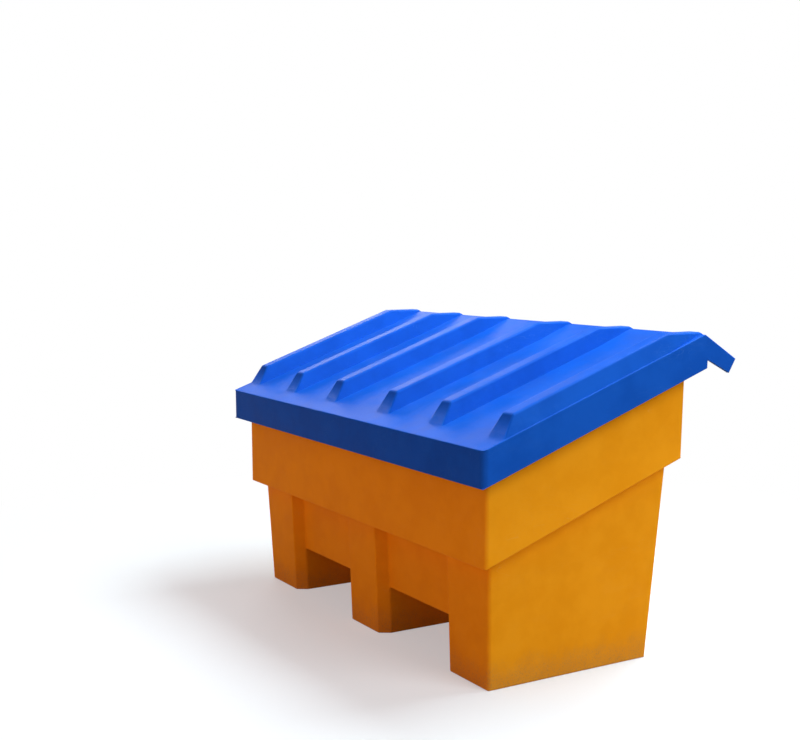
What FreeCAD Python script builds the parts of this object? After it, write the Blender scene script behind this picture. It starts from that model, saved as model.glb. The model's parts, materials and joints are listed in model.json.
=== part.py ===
import FreeCAD, Part
import math
import os
from FreeCAD import Vector

# Grit and salt bin: a rotomoulded polyethylene tub with two fork pockets,
# and a ribbed sloping lid on three steel hinges behind the rear wall.
# Millimetres. The origin is on the floor at the centre of the tub's foot.
# -Y is the front, where the lid is low; +Y is the hinge side; +Z is up.

# Driving dimensions of the tub
foot_width = 900.0
foot_depth = 382.0
draft_angle = 2.5
wall = 6.0
foot_corner_radius = 8.0
band_corner_radius = 8.0
step_front_height = 241.0
step_overhang = 27.0
slope_angle = 19.5
rim_clearance = 0.3

# Driving dimensions of the legs and the fork pockets
pocket_height = 100.0
centre_leg_width = 112.0
flute_width = 269.0
flute_depth = 24.0
flute_flank = 15.0

# Driving dimensions of the lid
lid_wall = 6.0
skirt_gap = 23.0
skirt_front_depth = 67.0
skirt_front_height = 394.0
skirt_rear_reach = 24.0
lid_corner_radius = 12.0
lid_brow_radius = 7.0
rib_count = 6
rib_centre_gap = 218.0
rib_height = 33.0
rib_crest_width = 31.0
rib_foot_width = 50.0
rib_setback = 44.0
rib_nose_lean = 20.0
rib_edge_radius = 5.0
rib_run_out = 24.0
ridge_drop = 2.0
ridge_start = 67.0
tail_angle = 31.0
tail_reach = 97.5
tail_cheek_depth = 31.0
tail_lip_depth = 10.0
tail_drop = 50.6
notch_rise = 17.0

# Driving dimensions of the hinges
hinge_count = 3
hinge_side_margin = 137.5
hinge_offset = 44.0
pin_diameter = 8.0
pin_clearance = 0.08
pin_head_thickness = 3.0
plate_thickness = 3.0
knuckle_length = 28.0
side_clearance = 0.5
turning_clearance = 0.6
bracket_height = 28.0
bracket_rim_margin = 2.5
leaf_length = 27.0
leaf_start = 9.5
cap_length = 6.0
cap_bore_depth = 4.5

# Driving dimensions of the fasteners
bolt_diameter = 8.0
bolt_hole_clearance = 0.3
bolt_head_diameter = 18.0
bolt_head_height = 4.5
bolt_head_gap = 0.5
bolt_edge_distance = 12.0
bolt_thread_spare = 2.0
washer_diameter = 22.0
washer_thickness = 1.6
nut_width = 13.0
nut_thickness = 6.5
thread_clearance = 0.05

# Slope of the step, the rim and the lid
slope = math.tan(math.radians(slope_angle))
slope_cos = math.cos(math.radians(slope_angle))
draft = math.tan(math.radians(draft_angle))

# Half sizes of the upper band, which stands out beyond the drafted lower body
band_half_x = foot_width / 2 + step_front_height * draft + step_overhang
band_half_y = foot_depth / 2 + step_front_height * draft + step_overhang

# Plan of the lid, which overlaps the band with a gap all round
lid_half_x = band_half_x + skirt_gap + lid_wall
lid_front_y = -(band_half_y + skirt_gap + lid_wall)
skirt_rear_y = band_half_y + skirt_rear_reach
lid_top_front_z = skirt_front_height + skirt_front_depth

# Fork pockets run between the flanks of the flutes in front and behind
flute_inner_x = centre_leg_width / 2
flute_outer_x = flute_inner_x + flute_width
pocket_inner_x = flute_inner_x + flute_flank
pocket_outer_x = flute_outer_x - flute_flank


def valley_z(y):
    """Height of the lid's outer skin between the ribs."""
    return lid_top_front_z + slope * (y - lid_front_y)


def step_z(y):
    """Height of the step where the band overhangs the lower body."""
    return step_front_height + slope * (y + band_half_y)


def rim_z(y):
    """Height of the tub's rim, just under the lid's skin."""
    return valley_z(y) - (lid_wall + rim_clearance) / slope_cos


# The ribs' crests run level from the ridge line to the tail, and each rib reaches below the skin
rib_sink = 2 * lid_wall
rib_depth = 2 * rib_sink
ridge_y = band_half_y - ridge_start
crest_z = valley_z(ridge_y) + rib_height
ridge_z = crest_z - ridge_drop

# The tail slopes down and back from a little below the crests to its square end
tail_cos = math.cos(math.radians(tail_angle))
tail_sin = math.sin(math.radians(tail_angle))
tail_slope = tail_sin / tail_cos
tail_end_y = band_half_y + tail_reach
tail_end_z = ridge_z - tail_drop
tail_start_y = tail_end_y - tail_drop / tail_slope
skirt_rear_z = skirt_front_height + slope * (skirt_rear_y - lid_front_y)

# The hinge axis lies one knuckle radius below the tail's inner skin
knuckle_radius = pin_diameter / 2 + plate_thickness
hinge_y = band_half_y + hinge_offset
tail_top_at_hinge = tail_end_z + (tail_end_y - hinge_y) * tail_slope
hinge_z = tail_top_at_hinge - (lid_wall + knuckle_radius) / tail_cos
hinge_spacing = 2 * (band_half_x - hinge_side_margin) / (hinge_count - 1)
hinge_places = [hinge_spacing * (i - (hinge_count - 1) / 2) for i in range(hinge_count)]
cheek_inner_x = knuckle_length / 2 + side_clearance
cheek_outer_x = cheek_inner_x + plate_thickness
cheek_radius = knuckle_radius - turning_clearance
bolt_offset = cheek_outer_x + bolt_head_gap + bolt_head_diameter / 2
bolt_offsets = [-bolt_offset, bolt_offset]
plate_half_width = bolt_offset + bolt_edge_distance
bracket_top_z = rim_z(band_half_y) - bracket_rim_margin
bracket_bottom_z = bracket_top_z - bracket_height
bracket_bolt_z = (bracket_top_z + bracket_bottom_z) / 2
leaf_bolt_reach = leaf_start + leaf_length / 2


def along_tail(distance, height):
    """Point at a distance from the hinge axis down the tail and a height square to it."""
    y = hinge_y + distance * tail_cos + height * tail_sin
    z = hinge_z - distance * tail_sin + height * tail_cos
    return (y, z)


def tail_end(depth, back=0.0):
    """Point on the tail's end face, depth below its skin and back from it along the tail."""
    y = tail_end_y - depth * tail_sin - back * tail_cos
    z = tail_end_z - depth * tail_cos + back * tail_sin
    return (y, z)


def prism(points, x_low, x_high):
    """Solid with a side outline of (y, z) points, from x_low to x_high."""
    corners = [Vector(x_low, y, z) for y, z in points]
    face = Part.Face(Part.makePolygon(corners + corners[:1]))
    return face.extrude(Vector(x_high - x_low, 0, 0))


def rounded_plan(half_x, half_y, radius, z):
    """Closed rectangle with round corners at height z."""
    x = half_x - radius
    y = half_y - radius
    edges = []
    quarter = radius * math.sqrt(0.5)
    for side_x, side_y, next_x, next_y in ((1, 1, -1, 1), (-1, 1, -1, -1), (-1, -1, 1, -1), (1, -1, 1, 1)):
        centre = Vector(side_x * x, side_y * y, z)
        turn_in = Vector(radius, 0, 0) if side_x == side_y else Vector(0, radius, 0)
        turn_out = Vector(0, radius, 0) if side_x == side_y else Vector(radius, 0, 0)
        start = centre + Vector(turn_in.x * side_x, turn_in.y * side_y, 0)
        middle = centre + Vector(quarter * side_x, quarter * side_y, 0)
        end = centre + Vector(turn_out.x * side_x, turn_out.y * side_y, 0)
        edges.append(Part.Arc(start, middle, end).toShape())
        following = Vector(next_x * x, next_y * y, z)
        if side_x == side_y:
            corner = following + Vector(0, radius * next_y, 0)
        else:
            corner = following + Vector(radius * next_x, 0, 0)
        edges.append(Part.LineSegment(end, corner).toShape())
    return Part.Wire(edges)


def tapered_block(inset, low, high):
    """Lower body with drafted sides, drawn in by inset."""
    wires = []
    for z in (low, high):
        half_x = foot_width / 2 + z * draft - inset
        half_y = foot_depth / 2 + z * draft - inset
        wires.append(rounded_plan(half_x, half_y, foot_corner_radius - inset, z))
    return Part.makeLoft(wires, True, True)


def band_block(inset, lift):
    """Upper band, drawn in by inset, from the step plane raised by lift up past the rim."""
    reach = band_half_y + skirt_gap
    top = crest_z + wall
    block = Part.Face(rounded_plan(band_half_x - inset, band_half_y - inset, band_corner_radius - inset, 0))
    block = block.extrude(Vector(0, 0, top))
    outline = [(-reach, step_z(-reach) + lift), (reach, step_z(reach) + lift), (reach, top), (-reach, top)]
    return block.common(prism(outline, -lid_half_x, lid_half_x))


def flute_block(side_x, side_y, grow):
    """Hollow of one vertical flute, grown on all sides by the wall for the inside."""
    wires = []
    beyond = 2 * wall
    for z in (-wall, crest_z):
        face_y = foot_depth / 2 + z * draft
        inner = flute_inner_x - grow
        outer = flute_outer_x + grow
        spread = flute_flank / flute_depth
        plan = [
            (inner - beyond * spread, face_y + beyond),
            (outer + beyond * spread, face_y + beyond),
            (outer - flute_flank, face_y - flute_depth - grow),
            (inner + flute_flank, face_y - flute_depth - grow),
        ]
        corners = [Vector(side_x * x, side_y * y, z) for x, y in plan]
        wires.append(Part.makePolygon(corners + corners[:1]))
    return Part.makeLoft(wires, True, True)


def pocket_block(side_x, grow):
    """Fork pocket from front to back, grown by the wall for the inside."""
    width = pocket_outer_x - pocket_inner_x + 2 * grow
    low_x = pocket_inner_x - grow if side_x > 0 else -pocket_outer_x - grow
    corner = Vector(low_x, -foot_depth, -wall)
    return Part.makeBox(width, 2 * foot_depth, pocket_height + wall + grow, corner)


def cylinder_x(radius, x_low, x_high, y, z):
    return Part.makeCylinder(radius, x_high - x_low, Vector(x_low, y, z), Vector(1, 0, 0))


def bracket_bolt_axis(x):
    """Start on the bracket's outer face and direction into the tub."""
    return Vector(x, band_half_y + plate_thickness, bracket_bolt_z), Vector(0, -1, 0)


def leaf_bolt_axis(x):
    """Start on the tail's outer skin and direction down through the leaf."""
    y, z = along_tail(leaf_bolt_reach, knuckle_radius + lid_wall)
    return Vector(x, y, z), Vector(0, -tail_sin, -tail_cos)


def bolt_holes(axis_of):
    """Clearance holes of all bolts of one kind."""
    holes = []
    radius = bolt_diameter / 2 + bolt_hole_clearance
    length = 2 * (wall + lid_wall + plate_thickness)
    for hinge_x in hinge_places:
        for offset in bolt_offsets:
            start, direction = axis_of(hinge_x + offset)
            holes.append(Part.makeCylinder(radius, length, start - direction * (length / 2), direction))
    return Part.makeCompound(holes)


def make_tub():
    """Hollow tub: legs, pockets and flutes below, the plain band above."""
    top = crest_z
    outside = tapered_block(0, 0, top)
    inside = tapered_block(wall, wall, top)
    for side_x in (-1, 1):
        outside = outside.cut(pocket_block(side_x, 0))
        inside = inside.cut(pocket_block(side_x, wall))
        for side_y in (-1, 1):
            outside = outside.cut(flute_block(side_x, side_y, 0))
            inside = inside.cut(flute_block(side_x, side_y, wall))
    outside = outside.fuse(band_block(0, 0)).removeSplitter()
    inside = inside.fuse(band_block(wall, wall / slope_cos)).removeSplitter()
    reach = band_half_y + skirt_gap
    over = crest_z + 2 * wall
    rim = [(-reach, rim_z(-reach)), (reach, rim_z(reach)), (reach, over), (-reach, over)]
    tub = outside.cut(inside).cut(prism(rim, -lid_half_x, lid_half_x))
    return tub.cut(bolt_holes(bracket_bolt_axis))


def lid_outline(inset):
    """Side outline of the lid's skin between its ribs, drawn in by inset."""
    front_y = lid_front_y + inset
    valley_drop = inset / slope_cos
    tail_height = ridge_z + tail_start_y * tail_slope - inset / tail_cos
    meeting_y = (tail_height - valley_z(0) + valley_drop) / (slope + tail_slope)
    return [
        (front_y, valley_z(front_y) - valley_drop),
        (meeting_y, valley_z(meeting_y) - valley_drop),
        tail_end(inset, inset),
    ]


def lid_block():
    """Outside of the lid without its ribs, with its skirt, notch and tail."""
    bottom = [
        tail_end(tail_cheek_depth),
        (skirt_rear_y, skirt_rear_z + notch_rise),
        (skirt_rear_y, skirt_rear_z),
        (lid_front_y, skirt_front_height),
    ]
    block = prism(lid_outline(0) + bottom, -lid_half_x, lid_half_x)
    near = lid_wall / 10
    corners = []
    for edge in block.Edges:
        ends = [vertex.Point for vertex in edge.Vertexes]
        upright = abs(ends[0].x - ends[1].x) < near
        if upright and all(abs(point.y - lid_front_y) < near for point in ends):
            corners.append(edge)
    block = block.makeFillet(lid_corner_radius, corners)
    brow = []
    for edge in block.Edges:
        box = edge.BoundBox
        in_front = box.YMin < lid_front_y + near and box.YMax < lid_front_y + lid_corner_radius + near
        if in_front and box.ZMin > lid_top_front_z - near:
            brow.append(edge)
    return block.makeFillet(lid_brow_radius, brow)


def lid_hollow():
    """Space under the lid's skin, open downwards."""
    top = lid_outline(lid_wall)
    below = skirt_front_height - lid_wall
    lip_low = tail_end(2 * tail_cheek_depth, lid_wall)
    bottom = [lip_low, (lip_low[0], below), (top[0][0], below)]
    hollow = prism(top + bottom, -lid_half_x + lid_wall, lid_half_x - lid_wall)
    under_lip = [
        tail_end(tail_lip_depth, 2 * lid_wall), tail_end(2 * tail_cheek_depth, 2 * lid_wall),
        tail_end(2 * tail_cheek_depth, -lid_wall), tail_end(tail_lip_depth, -lid_wall),
    ]
    return hollow.fuse(prism(under_lip, -lid_half_x + lid_wall, lid_half_x - lid_wall))


def rib_centres():
    """Places of the ribs across the lid; the outermost ones stand flush with its sides."""
    first = rib_centre_gap / 2
    pairs = rib_count // 2
    pitch = (lid_half_x - rib_foot_width / 2 - first) / (pairs - 1)
    places = [first + i * pitch for i in range(pairs)]
    return sorted(places + [-x for x in places])


def rib_section(x, y, inset):
    """Upright section of a rib at y, with round crest edges, drawn in by inset."""
    spread = (rib_foot_width - rib_crest_width) / 2 / rib_height
    flank = math.hypot(1, spread)
    top = rib_height - inset / slope_cos
    low_half = rib_foot_width / 2 + rib_depth * spread - inset * flank
    top_half = rib_foot_width / 2 - top * spread - inset * flank
    radius = rib_edge_radius - inset / 2
    reach = radius * math.tan(math.atan2(1, spread) / 2)
    tangent = (top_half + reach * spread / flank, top - reach / flank)
    middle_turn = math.atan2(1, spread) / 2
    centre = (top_half - reach, top - radius)
    middle = (centre[0] + radius * math.sin(middle_turn), centre[1] + radius * math.cos(middle_turn))
    z = valley_z(y)

    def point(side, across, height):
        return Vector(x + side * across, y, z + height)

    left_low, right_low = point(-1, low_half, -rib_depth), point(1, low_half, -rib_depth)
    left_crest, right_crest = point(-1, centre[0], top), point(1, centre[0], top)
    edges = [
        Part.LineSegment(left_low, right_low).toShape(),
        Part.LineSegment(right_low, point(1, *tangent)).toShape(),
        Part.Arc(point(1, *tangent), point(1, *middle), right_crest).toShape(),
        Part.LineSegment(right_crest, left_crest).toShape(),
        Part.Arc(left_crest, point(-1, *middle), point(-1, *tangent)).toShape(),
        Part.LineSegment(point(-1, *tangent), left_low).toShape(),
    ]
    return Part.Face(Part.Wire(edges))


def rib_limits(inset):
    """Side outline that gives a rib its leaning nose and its end on the tail."""
    lean = rib_nose_lean / rib_height
    over = rib_height + rib_depth
    nose_y = lid_front_y + rib_setback + inset
    base_z = valley_z(nose_y)
    nose = [(nose_y - rib_sink * lean, base_z - rib_sink), (nose_y + over * lean, base_z + over)]
    if inset > 0:
        back = [(tail_start_y - inset, crest_z + over), (tail_start_y - inset, ridge_z - inset - rib_sink)]
    else:
        run_out_y = tail_start_y + rib_run_out
        tail_z = ridge_z - rib_run_out * tail_slope
        rise = (crest_z - tail_z) / rib_run_out
        back = [(tail_start_y - over / rise, crest_z + over), (run_out_y + rib_sink / rise, tail_z - rib_sink)]
    return nose + back + [(ridge_y, valley_z(ridge_y) - rib_sink)]


def rib_block(x, inset):
    """One rib from nose to tail, drawn in by inset for the space inside it."""
    limits = prism(rib_limits(inset), x - rib_foot_width, x + rib_foot_width)
    uphill = ridge_y - lid_front_y
    level = tail_end_y - ridge_y
    sloping = rib_section(x, lid_front_y, inset).extrude(Vector(0, uphill, uphill * slope))
    flat = rib_section(x, ridge_y, inset).extrude(Vector(0, level, 0))
    return sloping.fuse(flat).removeSplitter().common(limits)


def make_lid():
    """Ribbed lid shell with its skirt, ridge, tail and bolt holes."""
    outside = lid_block()
    hollow = lid_hollow()
    inner_half_x = lid_half_x - lid_wall
    inner_width = Part.makeBox(
        2 * inner_half_x, 4 * foot_depth, 2 * crest_z, Vector(-inner_half_x, -2 * foot_depth, 0))
    outer_width = Part.makeBox(
        2 * lid_half_x, 4 * foot_depth, 2 * crest_z, Vector(-lid_half_x, -2 * foot_depth, 0))
    for x in rib_centres():
        outside = outside.fuse(rib_block(x, 0).common(outer_width))
        hollow = hollow.fuse(rib_block(x, lid_wall).common(inner_width))
    return outside.removeSplitter().cut(hollow).cut(bolt_holes(leaf_bolt_axis))


def make_bracket(hinge_x):
    """Pressed steel bracket on the rear wall, with two cheeks for the pin."""
    plate = Part.makeBox(
        2 * plate_half_width, plate_thickness, bracket_height,
        Vector(hinge_x - plate_half_width, band_half_y, bracket_bottom_z))
    bracket = plate
    for side in (-1, 1):
        low = hinge_x + (cheek_inner_x if side > 0 else -cheek_outer_x)
        root_y = band_half_y + plate_thickness / 2
        root = [
            (root_y, bracket_bottom_z), (hinge_y, hinge_z - cheek_radius),
            (hinge_y, hinge_z + cheek_radius), (root_y, bracket_top_z)]
        cheek = prism(root, low, low + plate_thickness)
        cheek = cheek.fuse(cylinder_x(cheek_radius, low, low + plate_thickness, hinge_y, hinge_z))
        bracket = bracket.fuse(cheek)
    bore = cylinder_x(
        pin_diameter / 2 + pin_clearance, hinge_x - plate_half_width, hinge_x + plate_half_width,
        hinge_y, hinge_z)
    return bracket.cut(bore).cut(bolt_holes(bracket_bolt_axis)).removeSplitter()


def make_leaf(hinge_x):
    """Lid leaf under the tail, with a rolled knuckle between the bracket's cheeks."""
    upper = knuckle_radius
    lower = knuckle_radius - plate_thickness
    plate = prism(
        [along_tail(leaf_start, lower), along_tail(leaf_start, upper),
         along_tail(leaf_start + leaf_length, upper), along_tail(leaf_start + leaf_length, lower)],
        hinge_x - plate_half_width, hinge_x + plate_half_width)
    half = knuckle_length / 2
    tongue = prism(
        [along_tail(0, lower), along_tail(0, upper),
         along_tail(leaf_start + plate_thickness, upper), along_tail(leaf_start + plate_thickness, lower)],
        hinge_x - half, hinge_x + half)
    knuckle = cylinder_x(knuckle_radius, hinge_x - half, hinge_x + half, hinge_y, hinge_z)
    bore = cylinder_x(pin_diameter / 2 + pin_clearance, hinge_x - half, hinge_x + half, hinge_y, hinge_z)
    leaf = plate.fuse(tongue).fuse(knuckle).cut(bore)
    return leaf.cut(bolt_holes(leaf_bolt_axis)).removeSplitter()


def make_pin(hinge_x):
    """Hinge pin with a flat head, pushed in from the right."""
    head_x = hinge_x + cheek_outer_x + side_clearance
    end_x = hinge_x - cheek_outer_x - side_clearance - cap_bore_depth
    shank = cylinder_x(pin_diameter / 2, end_x, head_x, hinge_y, hinge_z)
    head = cylinder_x(cheek_radius, head_x, head_x + pin_head_thickness, hinge_y, hinge_z)
    return shank.fuse(head).removeSplitter()


def make_cap(hinge_x):
    """Push-on cap that holds the pin's plain end."""
    near_x = hinge_x - cheek_outer_x - side_clearance
    cap = cylinder_x(cheek_radius, near_x - cap_length, near_x, hinge_y, hinge_z)
    bore = cylinder_x(
        pin_diameter / 2 + thread_clearance, near_x - cap_bore_depth - thread_clearance, near_x,
        hinge_y, hinge_z)
    return cap.cut(bore)


def set_along(shape, start, direction):
    """Move a shape made upright at the origin to start, pointing along direction."""
    shape.Placement = FreeCAD.Placement(start, FreeCAD.Rotation(Vector(0, 0, 1), direction))
    return shape


def make_bolt(grip):
    """Round-headed bolt, head below the origin and shank along +Z, with grip under the head."""
    length = grip + washer_thickness + nut_thickness + bolt_thread_spare
    head = bolt_head_diameter / 2
    shank = bolt_diameter / 2
    dome_radius = (head ** 2 + bolt_head_height ** 2) / (2 * bolt_head_height)
    half_angle = math.asin(head / dome_radius) / 2
    crown = Vector(0, 0, -bolt_head_height)
    rise = dome_radius * (1 - math.cos(half_angle))
    middle = Vector(dome_radius * math.sin(half_angle), 0, rise - bolt_head_height)
    rim = Vector(head, 0, 0)
    edges = [Part.Arc(crown, middle, rim).toShape()]
    corners = [rim, Vector(shank, 0, 0), Vector(shank, 0, length), Vector(0, 0, length), crown]
    for start, end in zip(corners, corners[1:]):
        edges.append(Part.LineSegment(start, end).toShape())
    return Part.Face(Part.Wire(edges)).revolve(Vector(0, 0, 0), Vector(0, 0, 1), 360)


def make_washer():
    """Wide washer standing on the origin."""
    hole = Part.makeCylinder(bolt_diameter / 2 + bolt_hole_clearance, washer_thickness)
    return Part.makeCylinder(washer_diameter / 2, washer_thickness).cut(hole)


def make_nut():
    """Hexagon nut standing on the origin."""
    corner = nut_width / math.sqrt(3)
    ring = []
    for i in range(6):
        angle = math.radians(60 * i)
        ring.append(Vector(corner * math.cos(angle), corner * math.sin(angle), 0))
    nut = Part.Face(Part.makePolygon(ring + ring[:1])).extrude(Vector(0, 0, nut_thickness))
    return nut.cut(Part.makeCylinder(bolt_diameter / 2 + thread_clearance, nut_thickness))


def fastener_sets(axis_of, grip):
    """Bolts, washers and nuts of one kind, each as a group of separate solids."""
    bolts, washers, nuts = [], [], []
    for hinge_x in hinge_places:
        for offset in bolt_offsets:
            start, direction = axis_of(hinge_x + offset)
            inner = start + direction * grip
            bolts.append(set_along(make_bolt(grip), start, direction))
            washers.append(set_along(make_washer(), inner, direction))
            nuts.append(set_along(make_nut(), inner + direction * washer_thickness, direction))
    return [Part.makeCompound(group) for group in (bolts, washers, nuts)]


def lid_stop_angle():
    """Opening at which the lip under the tail's end meets the rear wall."""
    lip_y, lip_z = tail_end(tail_lip_depth)
    reach = math.hypot(lip_y - hinge_y, lip_z - hinge_z)
    at_rest = math.degrees(math.atan2(lip_z - hinge_z, lip_y - hinge_y))
    at_wall = -math.degrees(math.acos(-min(1.0, hinge_offset / reach)))
    return at_rest - at_wall


# Build every piece and write one file for each node
pieces = {"tub": make_tub(), "lid": make_lid()}
side_names = ["left", "centre", "right"]
for name, hinge_x in zip(side_names, hinge_places):
    pieces["hinge_bracket_" + name] = make_bracket(hinge_x)
    pieces["lid_leaf_" + name] = make_leaf(hinge_x)
    pieces["hinge_pin_" + name] = make_pin(hinge_x)
    pieces["pin_cap_" + name] = make_cap(hinge_x)
bracket_set = fastener_sets(bracket_bolt_axis, plate_thickness + wall)
leaf_set = fastener_sets(leaf_bolt_axis, lid_wall + plate_thickness)
for kind, group in zip(["bolts", "washers", "nuts"], bracket_set):
    pieces["bracket_" + kind] = group
for kind, group in zip(["bolts", "washers", "nuts"], leaf_set):
    pieces["leaf_" + kind] = group

os.makedirs("parts", exist_ok=True)
for name, shape in pieces.items():
    shape.exportStep("parts/" + name + ".step")
    box = shape.BoundBox
    print(name, "solids", len(shape.Solids), "valid", shape.isValid(), "volume", round(shape.Volume),
          "box", [round(v, 1) for v in (box.XMin, box.YMin, box.ZMin, box.XMax, box.YMax, box.ZMax)])
print("hinge axis y", round(hinge_y, 3), "z", round(hinge_z, 3))
print("lid stops at", round(lid_stop_angle(), 2), "degrees")
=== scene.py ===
# %% [markdown]
# # A grit and salt bin, dressed for its photograph
#
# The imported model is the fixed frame: it holds every piece at its real size and place. This lesson
# gives the pieces their looks. It builds the finishes from nodes, models the two plastic mouldings
# and the small steel parts in full detail, and sets up the camera, the floor and the light.

# %% Load the frame
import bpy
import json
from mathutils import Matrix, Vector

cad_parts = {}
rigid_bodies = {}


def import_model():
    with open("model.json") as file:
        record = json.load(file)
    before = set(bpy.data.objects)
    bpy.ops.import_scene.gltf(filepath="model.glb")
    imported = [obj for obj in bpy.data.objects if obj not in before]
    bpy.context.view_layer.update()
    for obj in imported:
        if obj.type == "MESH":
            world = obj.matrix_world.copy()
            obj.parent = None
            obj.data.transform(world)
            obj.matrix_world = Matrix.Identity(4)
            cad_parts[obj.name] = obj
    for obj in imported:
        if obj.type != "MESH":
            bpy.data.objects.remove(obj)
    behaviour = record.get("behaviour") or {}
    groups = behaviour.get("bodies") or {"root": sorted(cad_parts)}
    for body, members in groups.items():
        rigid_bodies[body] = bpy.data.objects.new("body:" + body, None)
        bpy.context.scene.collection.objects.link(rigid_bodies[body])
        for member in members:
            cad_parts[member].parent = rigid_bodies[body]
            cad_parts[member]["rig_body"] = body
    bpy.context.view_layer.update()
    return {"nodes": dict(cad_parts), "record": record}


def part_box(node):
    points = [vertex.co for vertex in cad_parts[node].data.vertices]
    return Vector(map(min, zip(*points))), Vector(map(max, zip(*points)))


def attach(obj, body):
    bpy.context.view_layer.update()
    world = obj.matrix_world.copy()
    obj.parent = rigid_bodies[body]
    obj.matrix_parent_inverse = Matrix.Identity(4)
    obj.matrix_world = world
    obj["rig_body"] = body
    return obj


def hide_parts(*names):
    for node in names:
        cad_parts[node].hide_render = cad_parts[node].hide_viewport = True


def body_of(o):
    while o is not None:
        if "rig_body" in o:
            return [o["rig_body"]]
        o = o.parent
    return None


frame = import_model()

import json
import math

import bpy
from mathutils import Vector
from mathutils.bvhtree import BVHTree

scene = bpy.context.scene

# %% [markdown]
# ## The camera
#
# The photograph was taken from the bin's right front, a little above the lid. The focal length and
# the place come from fitting the bin's own edges. A small shift moves the frame without tilting the
# camera.

# %% Place the camera
camera_data = bpy.data.cameras.new("photo_camera")
camera_data.lens = 54.29
camera_data.sensor_width = 36.0
camera_data.shift_x = 0.0575
camera_data.shift_y = 0.116
down, roll, turn = (math.radians(angle) for angle in (10.17, 0.19, 60.49))
camera = bpy.data.objects.new("photo_camera", camera_data)
camera.location = (2.154, -1.434, 0.802)
camera.rotation_euler = (math.radians(90) - down, roll, turn)
scene.collection.objects.link(camera)
scene.camera = camera
print("camera:", round(camera.location.length, 2), "m from the bin's foot")

# %% [markdown]
# ## Node trees in short lines
#
# A finish is a tree of many small nodes. These helpers add one node in one line and take either a
# plain value or another node's output for each input, so that the trees below read from top to
# bottom.

# %% Helpers for node trees
def add(tree, kind, inputs=None, **settings):
    """Add a node; inputs are plain values or other nodes' outputs."""
    node = tree.nodes.new("ShaderNode" + kind)
    for name, value in settings.items():
        setattr(node, name, value)
    for socket, value in (inputs or {}).items():
        if isinstance(value, bpy.types.NodeSocket):
            tree.links.new(value, node.inputs[socket])
        else:
            node.inputs[socket].default_value = value
    return node


def calc(tree, operation, *values):
    """Add a Math node; gives its result."""
    return add(tree, "Math", dict(enumerate(values)), operation=operation).outputs[0]


def times(tree, value, gain):
    return calc(tree, "MULTIPLY", value, gain)


def remap(tree, value, low, high, to_low=0.0, to_high=1.0):
    """Stretch low..high to to_low..to_high with soft ends."""
    inputs = {"Value": value, "From Min": low, "From Max": high,
              "To Min": to_low, "To Max": to_high}
    return add(tree, "MapRange", inputs, interpolation_type="SMOOTHSTEP").outputs["Result"]


def noise(tree, place, scale, detail=2.0, rough=0.5):
    """Add a cloudy pattern with scale cells in a metre; gives its strength."""
    inputs = {"Vector": place, "Scale": scale, "Detail": detail, "Roughness": rough}
    return add(tree, "TexNoise", inputs).outputs["Fac"]


def stretch(tree, place, turn, scale):
    """Turn a pattern's place by degrees about the three axes and scale it."""
    angles = tuple(math.radians(angle) for angle in turn)
    inputs = {"Vector": place, "Rotation": angles, "Scale": scale}
    return add(tree, "Mapping", inputs).outputs["Vector"]


def blend(tree, mask, under, over):
    """Mix two colours by a mask; gives the mixed colour."""
    # Among the Mix node's many sockets, 6 and 7 are its two colours and output 2 is the mixed one.
    return add(tree, "Mix", {0: mask, 6: under, 7: over}, data_type="RGBA").outputs[2]


def new_group(name, inputs, outputs):
    """An empty node group; gives the group, its incoming sockets and its outgoing sockets."""
    group = bpy.data.node_groups.new(name, "ShaderNodeTree")
    for label, kind in inputs.items():
        group.interface.new_socket(label, in_out="INPUT", socket_type="NodeSocket" + kind)
    for label in outputs:
        group.interface.new_socket(label, in_out="OUTPUT", socket_type="NodeSocketFloat")
    incoming, outgoing = group.nodes.new("NodeGroupInput"), group.nodes.new("NodeGroupOutput")
    return group, incoming.outputs, outgoing.inputs


def use_group(tree, group, inputs):
    """Place a group in a material; gives its outputs."""
    return add(tree, "Group", inputs, node_tree=group).outputs


def new_material(name):
    """A material with nodes; gives it, its tree and its Principled shader's inputs."""
    material = bpy.data.materials.new(name)
    material.use_nodes = True
    return material, material.node_tree, material.node_tree.nodes["Principled BSDF"].inputs


# %% [markdown]
# ## The skin of a rotomoulding
#
# Polyethylene powder melts against the wall of a hot mould. It copies the mould's fine grain,
# shrinks into a faint orange peel, and its flat walls are never quite flat. The colour is a little
# uneven too, where the powder ran thick or thin. One group gives the relief in millimetres and the
# mottle, and both plastics use it.

# %% Group: moulded skin
GRAIN_RELIEF, PEEL_RELIEF, WAVE_RELIEF = 0.035, 0.09, 1.6
moulded_skin, source, sink = new_group(
    "moulded_skin", inputs={"Place": "Vector"}, outputs=("Relief", "Mottle"))
tree, place = moulded_skin, source["Place"]
grain = times(tree, noise(tree, place, scale=620), GRAIN_RELIEF)
peel = times(tree, noise(tree, place, scale=130, detail=1), PEEL_RELIEF)
wave = times(tree, noise(tree, place, scale=7.5, detail=1.5, rough=0.4), WAVE_RELIEF)
relief = calc(tree, "ADD", calc(tree, "ADD", grain, peel), wave)
tree.links.new(relief, sink["Relief"])
clouds = noise(tree, place, scale=11, detail=4, rough=0.62)
tree.links.new(remap(tree, clouds, low=0.34, high=0.66), sink["Mottle"])
print("moulded skin:", len(moulded_skin.nodes), "nodes")

# %% [markdown]
# ## Scratches, rubs and worn edges
#
# Shovels and boots leave fine straight scratches and dull rubbed patches on a bin, and its edges
# go pale and matt. Scratches are the cell edges of a Voronoi pattern that is drawn out in one
# direction and broken up by noise, in three layers that run three ways. A Bevel node finds the
# edges: its rounded normal leaves the true one there.

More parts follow.
